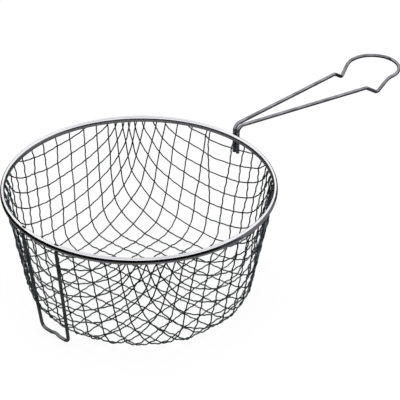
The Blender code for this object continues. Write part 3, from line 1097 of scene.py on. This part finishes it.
floor_paint = bpy.data.materials.new("white_floor")
tree = empty_tree(floor_paint)
paint = add_node(tree, "ShaderNodeBsdfDiffuse", {"Color": linear("#d9d9d9")})
kept_shadow = add_node(tree, "ShaderNodeBsdfDiffuse", {"Color": linear("#6a6a6a")})
glow = add_node(tree, "ShaderNodeEmission", {"Color": (1, 1, 1, 1), "Strength": FLOOR_GLOW})
lifted = add_node(tree, "ShaderNodeAddShader", {
    0: kept_shadow.outputs["BSDF"], 1: glow.outputs["Emission"],
})
seen = add_node(tree, "ShaderNodeMixShader", {
    0: seen_directly(tree), 1: paint.outputs["BSDF"], 2: lifted.outputs["Shader"],
})
add_node(tree, "ShaderNodeOutputMaterial", {"Surface": seen.outputs["Shader"]})
half = FLOOR_SIZE / 2
floor_corners = [(x * half, y * half, -FLOOR_DROP)
                 for x, y in ((-1, -1), (1, -1), (1, 1), (-1, 1))]
flat_piece("floor", floor_corners, [(0, 1, 2, 3)], floor_paint)
print("floor", FLOOR_SIZE, "m wide, at height", -FLOOR_DROP)

# %% World and softbox
ROOM_LIGHT = 0.55
BACKDROP_LIGHT = 1.0
SOFTBOX_SIZE = 1.4
SOFTBOX_WATTS = 14
SOFTBOX_PLACE = (-0.1, 0.1, 1.7)

world = bpy.data.worlds.new("white_studio")
scene.world = world
tree = empty_tree(world)
white = linear("#ffffff")
room = add_node(tree, "ShaderNodeBackground", {"Color": white, "Strength": ROOM_LIGHT})
backdrop = add_node(tree, "ShaderNodeBackground", {
    "Color": white, "Strength": BACKDROP_LIGHT,
})
either = add_node(tree, "ShaderNodeMixShader", {
    0: seen_directly(tree), 1: room.outputs["Background"], 2: backdrop.outputs["Background"],
})
add_node(tree, "ShaderNodeOutputWorld", {"Surface": either.outputs["Shader"]})

softbox_data = bpy.data.lights.new("softbox", "AREA")
softbox_data.shape = "SQUARE"
softbox_data.size = SOFTBOX_SIZE
softbox_data.energy = SOFTBOX_WATTS
softbox = put_in_scene("softbox", softbox_data)
softbox.location = SOFTBOX_PLACE
softbox.visible_camera = False
softbox.visible_glossy = False
print("softbox", SOFTBOX_SIZE, "m wide with", SOFTBOX_WATTS, "W")

# %% [markdown]
# ## Cards that the polished bead reflects
#
# Polished metal shows the room, so the room is what draws it. The bead in the photograph
# is white on its crest, with a black line below and dark grey under that. A maker of such
# pictures gets this with white light from above and black boards, called flags, round the
# table. The same is done here with curved cards round the basket, but each card glows with
# its own colour instead of being lit, so the greys that the bead shows are painted
# reflections. A grey disc lies under it, a painted shadow of the table under the basket.
# Black boards lie round that, and end in a low black flag. On the right both are grey, with
# darker edges. A pale grey ceiling hangs over the camera's half of the room. The cards are
# seen only in reflections, and neither the camera nor the other light meets them.

# %% Flags, boards and ceiling
AWAY_AZIMUTH = math.atan2(-CAMERA_PLACE.y, axis.x - CAMERA_PLACE.x)
CARD_STEP = math.radians(7.5)
CARD_LIFT = 0.0004
INNERMOST = 0.001
TABLE_REACH = 0.20
FLAG_REACH = 2.5
FLAG_HEIGHT = 0.60
CEILING_HEIGHT = 2.6
CEILING_REACH = 3.0
FLAGS = {
    "black": (124, 406, "#0c0c0c"),
    "dark_left": (46, 58, "#38383a"),
    "grey": (58, 106, "#6c6c70"),
    "dark_right": (106, 124, "#38383a"),
}


def card(name, from_degrees, to_degrees, low, high, colour):
    """Add a curved card round the bowl's axis, which only reflections see.

    The angles turn clockwise from the view away from the camera. The card runs up or
    outwards from one (reach, height) to another.
    """
    glow = bpy.data.materials.new(name)
    tree = empty_tree(glow)
    # The card glows with its colour instead of being lit: a painted reflection.
    shine = add_node(tree, "ShaderNodeEmission", {"Color": linear(colour), "Strength": 1.0})
    add_node(tree, "ShaderNodeOutputMaterial", {"Surface": shine.outputs["Emission"]})
    start, end = math.radians(from_degrees), math.radians(to_degrees)
    steps = math.ceil((end - start) / CARD_STEP)
    corners = []
    for step in range(steps + 1):
        angle = AWAY_AZIMUTH - start - (end - start) * step / steps
        for reach, height in (low, high):
            corners.append((axis.x + reach * math.cos(angle), reach * math.sin(angle), height))
    faces = [(2 * step, 2 * step + 1, 2 * step + 3, 2 * step + 2) for step in range(steps)]
    piece = flat_piece(name, corners, faces, glow)
    for sight in ("camera", "diffuse", "transmission", "volume_scatter", "shadow"):
        setattr(piece, "visible_" + sight, False)
    print(f"{name}: {steps} panels")


table = CARD_LIFT - FLOOR_DROP
# Painted shadow of the table under the basket, which only reflections see.
card("painted_table_shadow", 0, 360, (INNERMOST, table), (TABLE_REACH, table), "#666666")
# A glowing pale card that paints the reflection of a lit ceiling.
card("painted_ceiling_reflection", 90, 270, (INNERMOST, CEILING_HEIGHT), (CEILING_REACH, CEILING_HEIGHT),
     "#cbcbd0")
for name, (start, end, colour) in FLAGS.items():
    card(name + "_board", start, end, (TABLE_REACH, table), (FLAG_REACH, table), colour)
    card(name + "_flag", start, end, (FLAG_REACH, table), (FLAG_REACH, FLAG_HEIGHT), colour)

# %% [markdown]
# ## Last settings
#
# The view transform is Standard, so that a colour renders as it is written.

# %% Finish
scene.view_settings.view_transform = "Standard"
